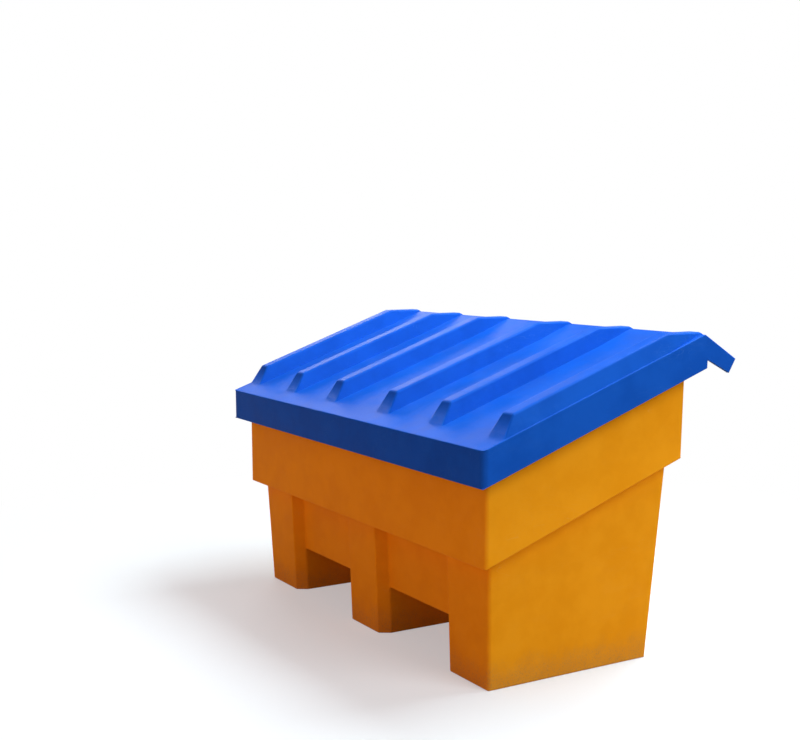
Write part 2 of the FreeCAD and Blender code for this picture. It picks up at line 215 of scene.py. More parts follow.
# %% Group: scuffs
scuffs, source, sink = new_group(
    "scuffs", inputs={"Place": "Vector", "Edge": "Float"}, outputs=("Scratches", "Rubs", "Edges"))
tree, place = scuffs, source["Place"]
scratches = None
for turn, cells in (((20, 35, 10), 30), ((-50, 15, 65), 22), ((70, -25, 40), 38)):
    drawn_out = stretch(tree, place, turn, (1.0, 0.22, 1.0))
    wobble = add(tree, "TexNoise", {"Vector": drawn_out, "Scale": 9.0}).outputs["Color"]
    bent = add(tree, "VectorMath", {0: drawn_out, 1: wobble}, operation="ADD").outputs["Vector"]
    inputs = {"Vector": bent, "Scale": cells}
    line = add(tree, "TexVoronoi", inputs, feature="DISTANCE_TO_EDGE").outputs["Distance"]
    line = remap(tree, line, low=0.004, high=0.016, to_low=1.0, to_high=0.0)
    patch = remap(tree, noise(tree, drawn_out, scale=17, detail=3), low=0.56, high=0.68)
    line = times(tree, line, patch)
    scratches = line if scratches is None else calc(tree, "MAXIMUM", scratches, line)
tree.links.new(scratches, sink["Scratches"])
rubbed = stretch(tree, place, (10, 0, 25), (1.0, 1.0, 2.2))
rubbed = noise(tree, rubbed, scale=9, detail=5, rough=0.7)
tree.links.new(remap(tree, rubbed, low=0.55, high=0.72), sink["Rubs"])
true_normal = add(tree, "NewGeometry").outputs["Normal"]
round_normal = add(tree, "Bevel", {"Radius": source["Edge"]}, samples=4).outputs["Normal"]
agreement = add(tree, "VectorMath", {0: true_normal, 1: round_normal}, operation="DOT_PRODUCT")
edges = remap(tree, agreement.outputs["Value"], low=0.985, high=0.90)
chipped = noise(tree, place, scale=55, detail=4, rough=0.65)
edges = times(tree, edges, remap(tree, chipped, low=0.40, high=0.62))
tree.links.new(edges, sink["Edges"])
print("scuffs:", len(scuffs.nodes), "nodes")

# %% [markdown]
# ## Dust and splashes
#
# A bin stands outdoors. Dust lies on what faces up, and rain splashes dirt on the lowest few
# centimetres of the legs. The height above the floor and the way a surface faces give both masks.

# %% Group: weather
weather, source, sink = new_group(
    "weather", inputs={"Place": "Vector", "Facing": "Vector"}, outputs=("Dust", "Splash"))
tree, place = weather, source["Place"]
up = add(tree, "SeparateXYZ", {0: source["Facing"]}).outputs["Z"]
lies_flat = remap(tree, up, low=0.35, high=0.95)
drift = noise(tree, place, scale=16, detail=5, rough=0.65)
drift = remap(tree, drift, low=0.38, high=0.70)
tree.links.new(times(tree, lies_flat, drift), sink["Dust"])
height = add(tree, "SeparateXYZ", {0: place}).outputs["Z"]
ragged = noise(tree, place, scale=24, detail=5, rough=0.7)
ragged = calc(tree, "ADD", height, times(tree, ragged, 0.09))
low_down = remap(tree, ragged, low=0.045, high=0.115, to_low=1.0, to_high=0.0)
specks = remap(tree, noise(tree, place, scale=330), low=0.50, high=0.64)
specks = calc(tree, "ADD", times(tree, specks, 0.5), 0.5)
tree.links.new(times(tree, low_down, specks), sink["Splash"])
print("weather:", len(weather.nodes), "nodes")

# %% [markdown]
# ## The two plastics
#
# Tub and lid are the same polyethylene in two colours, so one function makes both materials from
# the groups. Worn and scratched polyethylene turns paler and loses its gloss, and dirt is matt.

# %% Moulded plastic
MM = 0.001


def add_shares(tree, value, shares):
    """Add masks to a value, each times its own gain."""
    for mask, gain in shares:
        value = calc(tree, "ADD", value, times(tree, mask, gain))
    return value


def add_relief(tree, shader, relief):
    """Let a relief in millimetres bend the shader's normal."""
    bump = add(tree, "Bump", {"Height": relief, "Distance": MM, "Strength": 1.0})
    tree.links.new(bump.outputs["Normal"], shader["Normal"])


def moulded_plastic(name, deep, light, worn, dusty, roughness, dust_share, splash_share):
    material, tree, shader = new_material(name)
    shader["Specular IOR Level"].default_value = 0.018
    spot = add(tree, "TexCoord").outputs
    skin = use_group(tree, moulded_skin, {"Place": spot["Object"]})
    marks = use_group(tree, scuffs, {"Place": spot["Object"], "Edge": 3 * MM})
    dirt = use_group(tree, weather, {"Place": spot["Object"], "Facing": spot["Normal"]})
    rubs = times(tree, marks["Rubs"], 0.06)
    edges = times(tree, marks["Edges"], 0.30)
    scratches = times(tree, marks["Scratches"], 0.35)
    dust = times(tree, dirt["Dust"], dust_share)
    splash = times(tree, dirt["Splash"], splash_share)

    colour = blend(tree, skin["Mottle"], deep, light)
    for mask in (rubs, edges, scratches):
        colour = blend(tree, mask, colour, worn)
    for mask in (dust, splash):
        colour = blend(tree, mask, colour, dusty)
    tree.links.new(colour, shader["Base Color"])

    rough = remap(tree, skin["Mottle"], 0.0, 1.0, roughness - 0.03, roughness + 0.04)
    dulled = [(marks["Rubs"], 0.10), (marks["Edges"], 0.10), (scratches, 0.3)]
    rough = add_shares(tree, rough, dulled + [(dust, 0.5), (splash, 0.5)])
    tree.links.new(rough, shader["Roughness"])

    scratch_depth = times(tree, marks["Scratches"], 0.03)
    add_relief(tree, shader, calc(tree, "SUBTRACT", skin["Relief"], scratch_depth))
    return material


tub_finish = moulded_plastic(
    "yellow_polyethylene", deep=(0.885, 0.370, 0.009, 1), light=(0.935, 0.410, 0.013, 1),
    worn=(0.92, 0.47, 0.08, 1), dusty=(0.33, 0.22, 0.11, 1),
    roughness=0.45, dust_share=0.06, splash_share=0.40)
lid_finish = moulded_plastic(
    "blue_polyethylene", deep=(0.006, 0.095, 0.58, 1), light=(0.008, 0.112, 0.65, 1),
    worn=(0.05, 0.20, 0.68, 1), dusty=(0.25, 0.28, 0.36, 1),
    roughness=0.38, dust_share=0.04, splash_share=0.0)
print("plastics:", tub_finish.name, lid_finish.name)

# %% [markdown]
# ## Zinc
#
# The brackets and leaves are hot-dip galvanised: the zinc cools in flat crystals of a few
# millimetres, each with its own grey and gloss. The pins, caps, bolts, washers and nuts are bright
# zinc plated, with a fine grain and a dull film in places. Rust shows in small spots only.

# %% Group: zinc spangle
zinc_spangle, source, sink = new_group(
    "zinc_spangle", inputs={"Place": "Vector", "Cells": "Float"},
    outputs=("Crystal", "Film", "Relief", "Rust"))
tree, place = zinc_spangle, source["Place"]
wobble = add(tree, "TexNoise", {"Vector": place, "Scale": 260.0}).outputs["Color"]
wobble = add(tree, "VectorMath", {0: wobble, "Scale": 0.004}, operation="SCALE").outputs["Vector"]
shaken = add(tree, "VectorMath", {0: place, 1: wobble}, operation="ADD").outputs["Vector"]
inputs = {"Vector": shaken, "Scale": source["Cells"]}
crystals = add(tree, "TexVoronoi", inputs).outputs["Color"]
crystal = add(tree, "SeparateXYZ", {0: crystals}).outputs["X"]
film = noise(tree, place, scale=48, detail=4, rough=0.6)
relief = noise(tree, place, scale=900)
rust = noise(tree, place, scale=95, detail=5, rough=0.75)
tree.links.new(crystal, sink["Crystal"])
tree.links.new(remap(tree, film, low=0.38, high=0.68), sink["Film"])
tree.links.new(times(tree, relief, 0.02), sink["Relief"])
tree.links.new(remap(tree, rust, low=0.66, high=0.74), sink["Rust"])
print("zinc spangle:", len(zinc_spangle.nodes), "nodes")

# %% Zinc coated steel
FILM_GREY, RUST_BROWN = (0.50, 0.51, 0.52, 1), (0.22, 0.09, 0.03, 1)


def zinc_coat(name, dark, bright, cells, roughness, crystal_share, rust_share):
    material, tree, shader = new_material(name)
    spot = add(tree, "TexCoord").outputs["Object"]
    zinc = use_group(tree, zinc_spangle, {"Place": spot, "Cells": cells})
    crystal = times(tree, zinc["Crystal"], crystal_share)
    film = times(tree, zinc["Film"], 0.35)
    rust = times(tree, zinc["Rust"], rust_share)

    colour = blend(tree, crystal, bright, dark)
    colour = blend(tree, film, colour, FILM_GREY)
    colour = blend(tree, rust, colour, RUST_BROWN)
    tree.links.new(colour, shader["Base Color"])
    tree.links.new(calc(tree, "SUBTRACT", 1.0, rust), shader["Metallic"])

    dulled = ((crystal, 0.18), (zinc["Film"], 0.12), (rust, 0.4))
    tree.links.new(add_shares(tree, roughness, dulled), shader["Roughness"])

    add_relief(tree, shader, zinc["Relief"])
    return material


galvanised_finish = zinc_coat(
    "galvanised_zinc", dark=(0.36, 0.38, 0.40, 1), bright=(0.66, 0.68, 0.69, 1), cells=230.0,
    roughness=0.34, crystal_share=1.0, rust_share=0.25)
plated_finish = zinc_coat(
    "bright_zinc", dark=(0.55, 0.56, 0.57, 1), bright=(0.74, 0.74, 0.72, 1), cells=900.0,
    roughness=0.22, crystal_share=0.5, rust_share=0.35)
print("metals:", galvanised_finish.name, plated_finish.name)

# %% [markdown]
# ## Selecting in code
#
# A Blender operator acts on whatever is selected, so each step starts from nothing selected and
# then picks what it needs. The helpers below do that for objects, and pick faces by a test on their
# place.

# %% Helpers for selecting and editing
def select_none():
    bpy.ops.object.select_all(action="DESELECT")


def select_only(piece):
    select_none()
    piece.select_set(True)
    bpy.context.view_layer.objects.active = piece


def edit(piece, select="NONE", mode="EDGE"):
    """Open the piece in edit mode with all or nothing selected."""
    select_only(piece)
    bpy.ops.object.mode_set(mode="EDIT")
    bpy.ops.mesh.select_mode(type=mode)
    bpy.ops.mesh.select_all(action="SELECT" if select == "ALL" else "DESELECT")


def leave_edit():
    bpy.ops.object.mode_set(mode="OBJECT")


def edit_faces(piece, test):
    """Open the piece in edit mode with the faces selected that pass a test on place and normal."""
    edit(piece, mode="FACE")
    leave_edit()
    for face in piece.data.polygons:
        face.select = test(face.center, face.normal)
    bpy.ops.object.mode_set(mode="EDIT")


def settle(piece):
    """Move the piece's place and turn into its mesh."""
    select_only(piece)
    bpy.ops.object.transform_apply(location=True, rotation=True, scale=True)


def apply_modifier(piece, modifier):
    select_only(piece)
    bpy.ops.object.modifier_apply(modifier=modifier.name)


# %% [markdown]
# ## Drawing solids
#
# Both mouldings are mostly flat planes, so they are built like their mould: outlines are drawn
# point by point, filled and pulled out into blocks, and Boolean modifiers add the blocks or cut
# them away. The edges stay sharp until the end, because a bevel works best on clean edges. Blocks
# that should meet in one plane have to agree to the last digit, or the Boolean leaves slivers
# between them, so every point is rounded to a thousandth of a millimetre.

# %% Helpers for blocks
MICRON_DIGITS = 6


def join_points(points, pull):
    """Draw a closed outline from point to point, fill it and pull it out along a vector."""
    select_none()
    bpy.ops.mesh.primitive_plane_add(size=MM, location=(0, 0, 0))
    block = bpy.context.object
    edit(block, "ALL", "VERT")
    bpy.ops.mesh.merge(type="CENTER")
    bpy.ops.transform.translate(value=points[0])
    for start, end in zip(points, points[1:]):
        step = Vector(end) - Vector(start)
        bpy.ops.mesh.extrude_vertices_move(TRANSFORM_OT_translate={"value": step})
    bpy.ops.mesh.select_all(action="SELECT")
    bpy.ops.mesh.edge_face_add()
    bpy.ops.mesh.extrude_region_move(TRANSFORM_OT_translate={"value": pull})
    bpy.ops.mesh.select_all(action="SELECT")
    bpy.ops.mesh.normals_make_consistent(inside=False)
    leave_edit()
    for vertex in block.data.vertices:
        vertex.co = [round(value, MICRON_DIGITS) for value in vertex.co]
    return block


def side_block(points, low_x, high_x):
    """Block with a side outline of (y, z) points."""
    return join_points([(low_x, y, z) for y, z in points], (high_x - low_x, 0, 0))


def combine(piece, tool, operation, solver="EXACT"):
    """Add a block to a piece, cut it away or keep only what both share; the block is used up."""
    boolean = piece.modifiers.new("combine", "BOOLEAN")
    boolean.operation = operation
    boolean.object = tool
    boolean.solver = solver
    apply_modifier(piece, boolean)
    bpy.data.objects.remove(tool, do_unlink=True)


def merge_flat_faces(piece, doubles=0.6 * MM, flat_turn=0.3):
    """Merge doubled points and join the faces that the Boolean modifiers left in one plane."""
    edit(piece, "ALL")
    bpy.ops.mesh.remove_doubles(threshold=doubles)
    bpy.ops.mesh.dissolve_limited(angle_limit=math.radians(flat_turn))
    leave_edit()


# %% [markdown]
# ## The tub's measures
#
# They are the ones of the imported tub: a drafted body, an upright band that stands 27 mm out, two
# fork pockets from front to back and four flutes. The step, the rim and the lid share one slope.

# %% Measures of the tub
WALL = 6 * MM
DRAFT = math.tan(math.radians(2.5))
SLOPE = math.tan(math.radians(19.5))
SLOPE_COS = math.cos(math.radians(19.5))
FOOT_X, FOOT_Y = 450 * MM, 191 * MM
STEP_FRONT, STEP_OVERHANG = 241 * MM, 27 * MM
BAND_X = FOOT_X + STEP_FRONT * DRAFT + STEP_OVERHANG
BAND_Y = FOOT_Y + STEP_FRONT * DRAFT + STEP_OVERHANG
FLUTE_IN, FLUTE_OUT, FLUTE_DEPTH, FLUTE_FLANK = 56 * MM, 325 * MM, 24 * MM, 15 * MM
POCKET_TOP = 100 * MM
LID_OVERHANG, RIM_CLEARANCE = 29 * MM, 6.3 * MM
LID_X, LID_FRONT = BAND_X + LID_OVERHANG, -BAND_Y - LID_OVERHANG
LID_FRONT_LOW, LID_FRONT_TOP = 394 * MM, 461 * MM
TOP = 0.70
print("band:", round(2 * BAND_X / MM), "by", round(2 * BAND_Y / MM), "mm")


def valley_height(y):
    """Height of the lid's skin between the ribs."""
    return LID_FRONT_TOP + SLOPE * (y - LID_FRONT)


def rim_height(y):
    return valley_height(y) - RIM_CLEARANCE / SLOPE_COS


# %% [markdown]
# ## The tub
#
# One function draws the tub as a full block. It is called twice, for the outside and, drawn in by
# the wall's 6 mm, for the inside, which is cut away. So the wall is even everywhere, as in a
# rotomoulding. Pockets, flutes and the sloping rim are cut by blocks that reach past the tub.

# %% Blocks that shape the tub
PAST = 0.5


def pocket_block(side, inset):
    """One of the two channels under the tub."""
    near, far = FLUTE_IN + FLUTE_FLANK - inset, FLUTE_OUT - FLUTE_FLANK + inset
    roof = POCKET_TOP + inset
    section = [(-PAST, -WALL), (PAST, -WALL), (PAST, roof), (-PAST, roof)]
    low_x, high_x = sorted((side * near, side * far))
    return side_block(section, low_x, high_x)


def flute_block(side_x, side_y, inset):
    """One of the four flutes, which leans in with the draft of the wall that it is cut from."""
    face_y = FOOT_Y - WALL * DRAFT
    beyond = 2 * WALL
    spread = FLUTE_FLANK / FLUTE_DEPTH * beyond
    floor_y = face_y - FLUTE_DEPTH - inset
    plan = [
        (FLUTE_IN - inset - spread, face_y + beyond), (FLUTE_OUT + inset + spread, face_y + beyond),
        (FLUTE_OUT + inset - FLUTE_FLANK, floor_y), (FLUTE_IN - inset + FLUTE_FLANK, floor_y)]
    rise = TOP + WALL
    plan = [(side_x * x, side_y * y, -WALL) for x, y in plan]
    return join_points(plan, (0, side_y * rise * DRAFT, rise))


def band_block(inset):
    """The upright upper band with its sloping underside."""
    step = STEP_FRONT + SLOPE * BAND_Y + inset / SLOPE_COS
    front, back, top = -BAND_Y + inset, BAND_Y - inset, TOP + 0.01
    outline = [(front, step + SLOPE * front), (back, step + SLOPE * back),
               (back, top), (front, top)]
    return side_block(outline, -BAND_X + inset, BAND_X - inset)


# %% Draw the tub
def tub_block(inset):
    half_x, half_y = FOOT_X + inset * DRAFT - inset, FOOT_Y + inset * DRAFT - inset
    foot = [(-half_x, -half_y), (half_x, -half_y), (half_x, half_y), (-half_x, half_y)]
    body = join_points([(x, y, inset) for x, y in foot], (0, 0, TOP - inset))
    widen = (TOP - inset) * DRAFT
    edit_faces(body, lambda place, normal: place.z > TOP - MM)
    bpy.ops.transform.resize(
        value=(1 + widen / half_x, 1 + widen / half_y, 1), center_override=(0, 0, TOP))
    leave_edit()
    for side_x in (-1, 1):
        combine(body, pocket_block(side_x, inset), "DIFFERENCE")
        for side_y in (-1, 1):
            combine(body, flute_block(side_x, side_y, inset), "DIFFERENCE")
    combine(body, band_block(inset), "UNION")
    return body


tub_shell = tub_block(0)
combine(tub_shell, tub_block(WALL), "DIFFERENCE")
reach, high = BAND_Y + 20 * MM, TOP + 0.1
over_rim = [(-reach, rim_height(-reach)), (reach, rim_height(reach)), (reach, high), (-reach, high)]
combine(tub_shell, side_block(over_rim, -LID_X, LID_X), "DIFFERENCE")
merge_flat_faces(tub_shell)
tub_shell.name = "tub_shell"
print("tub faces before softening", len(tub_shell.data.polygons))

# %% [markdown]
# ## The lid's measures
#
# Six ribs run up the slope and then level to the tail, which slopes down behind the tub. All
# heights follow from the front skin and the slope. The end ribs stand a little in from the lid's
# sides, so that the sides' edges can be rounded.

# %% Measures of the lid
RIB_CREST, RIB_FOOT, RIB_HEIGHT = 31 * MM, 50 * MM, 33 * MM
RIB_SINK, RIB_RUN_OUT = 12 * MM, 24 * MM
NOSE_BACK, NOSE_LEAN = 44 * MM, 20 / 33
RIDGE_Y = BAND_Y - 67 * MM
CREST_Z = valley_height(RIDGE_Y) + RIB_HEIGHT
RIDGE_Z = CREST_Z - 2 * MM
TAIL_ANGLE = math.radians(31)
TAIL_SLOPE, TAIL_COS, TAIL_SIN = math.tan(TAIL_ANGLE), math.cos(TAIL_ANGLE), math.sin(TAIL_ANGLE)
TAIL_DROP = 50.6 * MM
TAIL_Y, TAIL_Z = BAND_Y + 97.5 * MM, RIDGE_Z - TAIL_DROP
TAIL_START = TAIL_Y - TAIL_DROP / TAIL_SLOPE
TAIL_CHEEK, LIP_DEPTH, LIP_THICKNESS = 31 * MM, 10 * MM, 12 * MM
SKIRT_BACK = BAND_Y + 24 * MM
SKIRT_BACK_Z = LID_FRONT_LOW + SLOPE * (SKIRT_BACK - LID_FRONT)
SKIRT_NOTCH_Z = SKIRT_BACK_Z + 17 * MM
END_GAP = 2.5 * MM
FIRST_RIB, LAST_RIB = 109 * MM, LID_X - RIB_FOOT / 2 - END_GAP
RIB_PLACES = [
    side * (FIRST_RIB + i * (LAST_RIB - FIRST_RIB) / 2) for side in (-1, 1) for i in range(3)]
print("lid:", round(2 * LID_X / MM), "mm wide, crests", round(CREST_Z / MM), "mm above the floor")


def tail_end(depth, back=0.0):
    """Point on the tail's end face, depth below its skin and back from it along the tail."""
    return (TAIL_Y - depth * TAIL_SIN - back * TAIL_COS,
            TAIL_Z - depth * TAIL_COS + back * TAIL_SIN)


def lid_skin(inset):
    """Side outline of the skin between the ribs, drawn in by inset."""
    front = LID_FRONT + inset
    drop = inset / SLOPE_COS
    tail_at_zero = RIDGE_Z + TAIL_START * TAIL_SLOPE - inset / TAIL_COS
    meeting = (tail_at_zero - valley_height(0) + drop) / (SLOPE + TAIL_SLOPE)
    return [(front, valley_height(front) - drop), (meeting, valley_height(meeting) - drop),
            tail_end(inset, inset)]


# %% [markdown]
# ## The lid
#
# The skirt, the skin and the tail are one outline pulled across the bin. Each rib is a section
# pulled up the slope and then level, cut off by its leaning nose in front and by the tail behind.
# As with the tub, the inside is the same form drawn in by the wall. Both are drawn a little too
# wide and trimmed at the sides.

# %% Draw a rib
def rib_outline(inset):
    """Side outline that a rib is cut to, from its nose to where it runs out into the tail."""
    over = RIB_HEIGHT + 2 * RIB_SINK
    nose = LID_FRONT + NOSE_BACK + inset
    outline = [(nose - RIB_SINK * NOSE_LEAN, valley_height(nose) - RIB_SINK),
               (nose + over * NOSE_LEAN, valley_height(nose) + over)]
    if inset > 0:
        end = TAIL_START - inset
        outline += [(end, CREST_Z + over), (end, RIDGE_Z - inset - RIB_SINK)]
    else:
        tail_z = RIDGE_Z - RIB_RUN_OUT * TAIL_SLOPE
        rise = (CREST_Z - tail_z) / RIB_RUN_OUT
        outline += [(TAIL_START - over / rise, CREST_Z + over),
                    (TAIL_START + RIB_RUN_OUT + RIB_SINK / rise, tail_z - RIB_SINK)]
    return outline + [(RIDGE_Y, valley_height(RIDGE_Y) - RIB_SINK)]


def rib_block(x, inset):
    spread = (RIB_FOOT - RIB_CREST) / 2 / RIB_HEIGHT
    flank = math.hypot(1, spread)
    top = RIB_HEIGHT - inset / SLOPE_COS
    deep = 2 * RIB_SINK
    low_half = RIB_FOOT / 2 + deep * spread - inset * flank
    top_half = RIB_FOOT / 2 - top * spread - inset * flank
    front, low_z, top_z = LID_FRONT, LID_FRONT_TOP - deep, LID_FRONT_TOP + top
    section = [(x - low_half, front, low_z), (x + low_half, front, low_z),
               (x + top_half, front, top_z), (x - top_half, front, top_z)]
    uphill = RIDGE_Y - LID_FRONT
    rib = join_points(section, (0, uphill, uphill * SLOPE))
    edit_faces(rib, lambda place, normal: abs(place.y - RIDGE_Y) < MM and abs(normal.y) > 0.9)
    level_run = (0, TAIL_Y - RIDGE_Y, 0)
    bpy.ops.mesh.extrude_region_move(TRANSFORM_OT_translate={"value": level_run})
    leave_edit()
    combine(rib, side_block(rib_outline(inset), x - RIB_FOOT, x + RIB_FOOT), "INTERSECT")
    return rib


# %% Draw the lid
def trim_sides(piece, half_x):
    """Cut a block off square at both sides."""
    combine(piece, side_block([(-1, 0), (1, 0), (1, 1), (-1, 1)], -half_x, half_x), "INTERSECT")


spare = 5 * MM
outside_x, inside_x = LID_X + spare, LID_X - WALL + spare
skirt = [tail_end(TAIL_CHEEK), (SKIRT_BACK, SKIRT_NOTCH_Z), (SKIRT_BACK, SKIRT_BACK_Z),
         (LID_FRONT, LID_FRONT_LOW)]
lid_shell = side_block(lid_skin(0) + skirt, -outside_x, outside_x)
below, far_down = LID_FRONT_LOW - WALL, 2 * TAIL_CHEEK
low_end = tail_end(far_down, WALL)
under_skirt = [low_end, (low_end[0], below), (LID_FRONT + WALL, below)]
hollow = side_block(lid_skin(WALL) + under_skirt, -inside_x, inside_x)
under_lip = [tail_end(LIP_DEPTH, LIP_THICKNESS), tail_end(far_down, LIP_THICKNESS),
             tail_end(far_down, -WALL), tail_end(LIP_DEPTH, -WALL)]
combine(hollow, side_block(under_lip, -inside_x, inside_x), "UNION")
for x in RIB_PLACES:
    combine(lid_shell, rib_block(x, 0), "UNION")
    combine(hollow, rib_block(x, WALL), "UNION")
trim_sides(lid_shell, LID_X)
trim_sides(hollow, LID_X - WALL)
combine(lid_shell, hollow, "DIFFERENCE")
merge_flat_faces(lid_shell)
lid_shell.name = "lid_shell"
print("lid faces before softening", len(lid_shell.data.polygons))

# %% [markdown]
# ## Soft edges
#
# Rotomoulded plastic has no sharp edge. The Bevel modifier rounds each edge by its own weight, so
# the weight is written edge by edge: full on the corners, less on the other outside edges, little
# on thin rims. A ray from the edge tells whether it lies inside, where the tub's edges are rounded
# only a little. The lid's inside edges and the feet of its ribs are left sharp: many edges meet
# there at flat angles or a few millimetres apart, and their rounds would run into each other.

# %% Round chosen edges by weight
def surface_tree(piece):
    return BVHTree.FromPolygons(
        [vertex.co.copy() for vertex in piece.data.vertices],
        [list(face.vertices) for face in piece.data.polygons])


def shelter_test(piece, direction):
    """A test that tells whether the piece itself lies in that direction from one of its edges."""
    tree = surface_tree(piece)

    def sheltered(first, second, normals):
        outwards = sum(normals, Vector()).normalized()
        return tree.ray_cast((first + second) / 2 + outwards * MM, direction)[0] is not None

    return sheltered


def edge_facts(piece):
    """For every edge its two ends, its face normals and the angle between them in degrees."""
    mesh = piece.data
    faces_of = {}
    for face in mesh.polygons:
        for key in face.edge_keys:
            faces_of.setdefault(key, []).append(face)
    facts = []
    for one_edge in mesh.edges:
        first, second = (mesh.vertices[i].co.copy() for i in one_edge.vertices)
        normals = [face.normal.copy() for face in faces_of[one_edge.key]]
        turn = math.degrees(normals[0].angle(normals[-1], 0.0))
        facts.append((first, second, normals, turn))
    return facts


def soften(piece, radius_of, segments, sharp_turn=12):
    """Round each edge by its own radius and print how far the surface moved."""
    old_surface = surface_tree(piece)
    radii = []
    for first, second, normals, turn in edge_facts(piece):
        radii.append(radius_of(first, second, normals) if turn > sharp_turn else 0.0)
    largest = max(radii)
    weights = piece.data.attributes.new("bevel_weight_edge", "FLOAT", "EDGE")
    for index, radius in enumerate(radii):
        weights.data[index].value = radius / largest
    bevel = piece.modifiers.new("soft_edges", "BEVEL")
    bevel.limit_method = "WEIGHT"
    bevel.width = largest
    bevel.segments = segments
    bevel.use_clamp_overlap = False
    apply_modifier(piece, bevel)
    moved = max(old_surface.find_nearest(vertex.co)[3] for vertex in piece.data.vertices)
    print(piece.name, "largest radius", round(largest / MM, 1), "mm,",
          "surface moved", round(moved / MM, 2), "mm")


# %% Soften the tub
over_floor = shelter_test(tub_shell, Vector((0, 0, -1)))
rim_normal = Vector((0, -SLOPE, 1)).normalized()
TUB_RIM, TUB_INSIDE, TUB_CORNER, TUB_EDGE = 2 * MM, 1.5 * MM, 8 * MM, 3 * MM


def tub_radius(first, second, normals):
    if any(normal.dot(rim_normal) > 0.999 for normal in normals):
        return TUB_RIM
    if over_floor(first, second, normals):
        return TUB_INSIDE
    upright = abs(first.z - second.z) > 0.5 * (first - second).length
    middle = (first + second) / 2
    at_corner = abs(middle.x) > FOOT_X - MM and abs(middle.y) > FOOT_Y - MM
    return TUB_CORNER if upright and at_corner else TUB_EDGE


soften(tub_shell, tub_radius, 3)

# %% Soften the lid
under_skin = shelter_test(lid_shell, Vector((0, 0, 1)))
SHARP, LID_RIM, LID_SIDE, LID_CORNER, LID_BROW = 0.0, 1.2 * MM, 2 * MM, 12 * MM, 7 * MM
TAIL_EDGE, RIDGE_EDGE, NOSE_EDGE = 2 * MM, 3 * MM, 4 * MM
LEVEL_CREST, SLOPE_CREST = 3.5 * MM, 5 * MM
TAIL_ZONE = TAIL_Y - 40 * MM
NOSE_ZONE, CREST_START = LID_FRONT + 80 * MM, LID_FRONT + 70 * MM


def ridge_radius(first, second, across):
    """Radius behind the ridge, where the ribs run level between the skin's ridge lines."""
    middle = (first + second) / 2
    if across:
        between_ribs = middle.z < RIDGE_Z and middle.y < TAIL_START + 5 * MM
        return RIDGE_EDGE if between_ribs else SHARP
    return LEVEL_CREST if min(first.z, second.z) > CREST_Z - MM else SHARP


def lid_radius(first, second, normals):
    middle = (first + second) / 2
    along = (second - first).normalized()
    upright, across = abs(along.z) > 0.9, abs(along.x) > 0.9
    if under_skin(first, second, normals):
        return SHARP
    if any(normal.z < -0.5 for normal in normals):
        return LID_RIM
    if min(abs(first.x), abs(second.x)) > LID_X - MM / 2 and abs(along.z) < 0.9:
        return LID_SIDE
    if middle.y < LID_FRONT + MM and (upright or across):
        return LID_CORNER if upright else LID_BROW
    if middle.y > TAIL_ZONE:
        return TAIL_EDGE
    if middle.y > RIDGE_Y - MM:
        return ridge_radius(first, second, across)
    above_skin = middle.z - valley_height(middle.y)
    if above_skin > RIB_HEIGHT - MM and middle.y > CREST_START:
        return SLOPE_CREST
    on_nose = middle.y < NOSE_ZONE and above_skin > 2 * MM
    return NOSE_EDGE if on_nose else SHARP


soften(lid_shell, lid_radius, 3)

# %% [markdown]
# ## Bolt holes
#
# Two bolts hold each bracket and two hold each leaf. The places come from the frame: the brackets'
# boxes give them across the bin, the washers' box and the hinge axis give the rest. The holes are
# drilled after the rounding, so that the bevel leaves them alone, and with the fast Boolean solver,
# because the exact one needs flatter faces than a bevel leaves. A weighted normal then keeps the
# large planes flat where they meet the rounds.

# %% Places and sizes of the bolts
sides = ("left", "centre", "right")
lid_hinge = frame["record"]["behaviour"]["joints"][0]
hinge_axis = Vector(lid_hinge["pos_m"])
down_tail = Vector((0, TAIL_COS, -TAIL_SIN))
out_of_tail = Vector((0, TAIL_SIN, TAIL_COS))
HEAD_RADIUS, HEAD_HEIGHT = 9 * MM, 4.5 * MM
SHANK_RADIUS, GRIP, SHANK_LENGTH = 4 * MM, 9 * MM, 19.1 * MM
HOLE_RADIUS = SHANK_RADIUS + 0.3 * MM
WASHER_THICKNESS = 1.6 * MM
EDGE_DISTANCE = 12 * MM
LEAF_REACH, LEAF_RISE = 23 * MM, 13 * MM
across_places = []
for side in sides:
    low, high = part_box("hinge_bracket_" + side)
    across_places += [low[0] + EDGE_DISTANCE, high[0] - EDGE_DISTANCE]
washers_low, washers_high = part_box("bracket_washers")
washers_z = (washers_low[2] + washers_high[2]) / 2
bracket_seat = Vector((0, washers_high[1] + GRIP, washers_z))
leaf_seat = hinge_axis + down_tail * LEAF_REACH + out_of_tail * LEAF_RISE
into_tub, into_lid = Vector((0, -1, 0)), -out_of_tail
print("bolts at", [round(x / MM) for x in across_places], "mm across the bin")


# %% Drill the bolt holes
def upright_bar(vertices, radius, low, high):
    select_none()
    bpy.ops.mesh.primitive_cylinder_add(
        vertices=vertices, radius=radius, depth=high - low, location=(0, 0, (high + low) / 2))
    bar = bpy.context.object
    settle(bar)
    return bar


def aim(piece, x, seat, direction):
    """Put an upright piece's origin on the seat and point it along a direction."""
    piece.location = (x, seat.y, seat.z)
    piece.rotation_euler = direction.to_track_quat("Z", "Y").to_euler()
    settle(piece)


def even_shading(piece, smooth_angle):
    select_only(piece)
    bpy.ops.object.shade_smooth_by_angle(angle=math.radians(smooth_angle))
    weighted = piece.modifiers.new("even_shading", "WEIGHTED_NORMAL")
    weighted.keep_sharp = True
    apply_modifier(piece, weighted)


for x in across_places:
    for shell, seat, direction in (
            (tub_shell, bracket_seat, into_tub), (lid_shell, leaf_seat, into_lid)):
        drill = upright_bar(24, HOLE_RADIUS, -5 * MM, 15 * MM)
        aim(drill, x, seat, direction)
        combine(shell, drill, "DIFFERENCE", "FAST")
for shell in (tub_shell, lid_shell):
    even_shading(shell, 40)


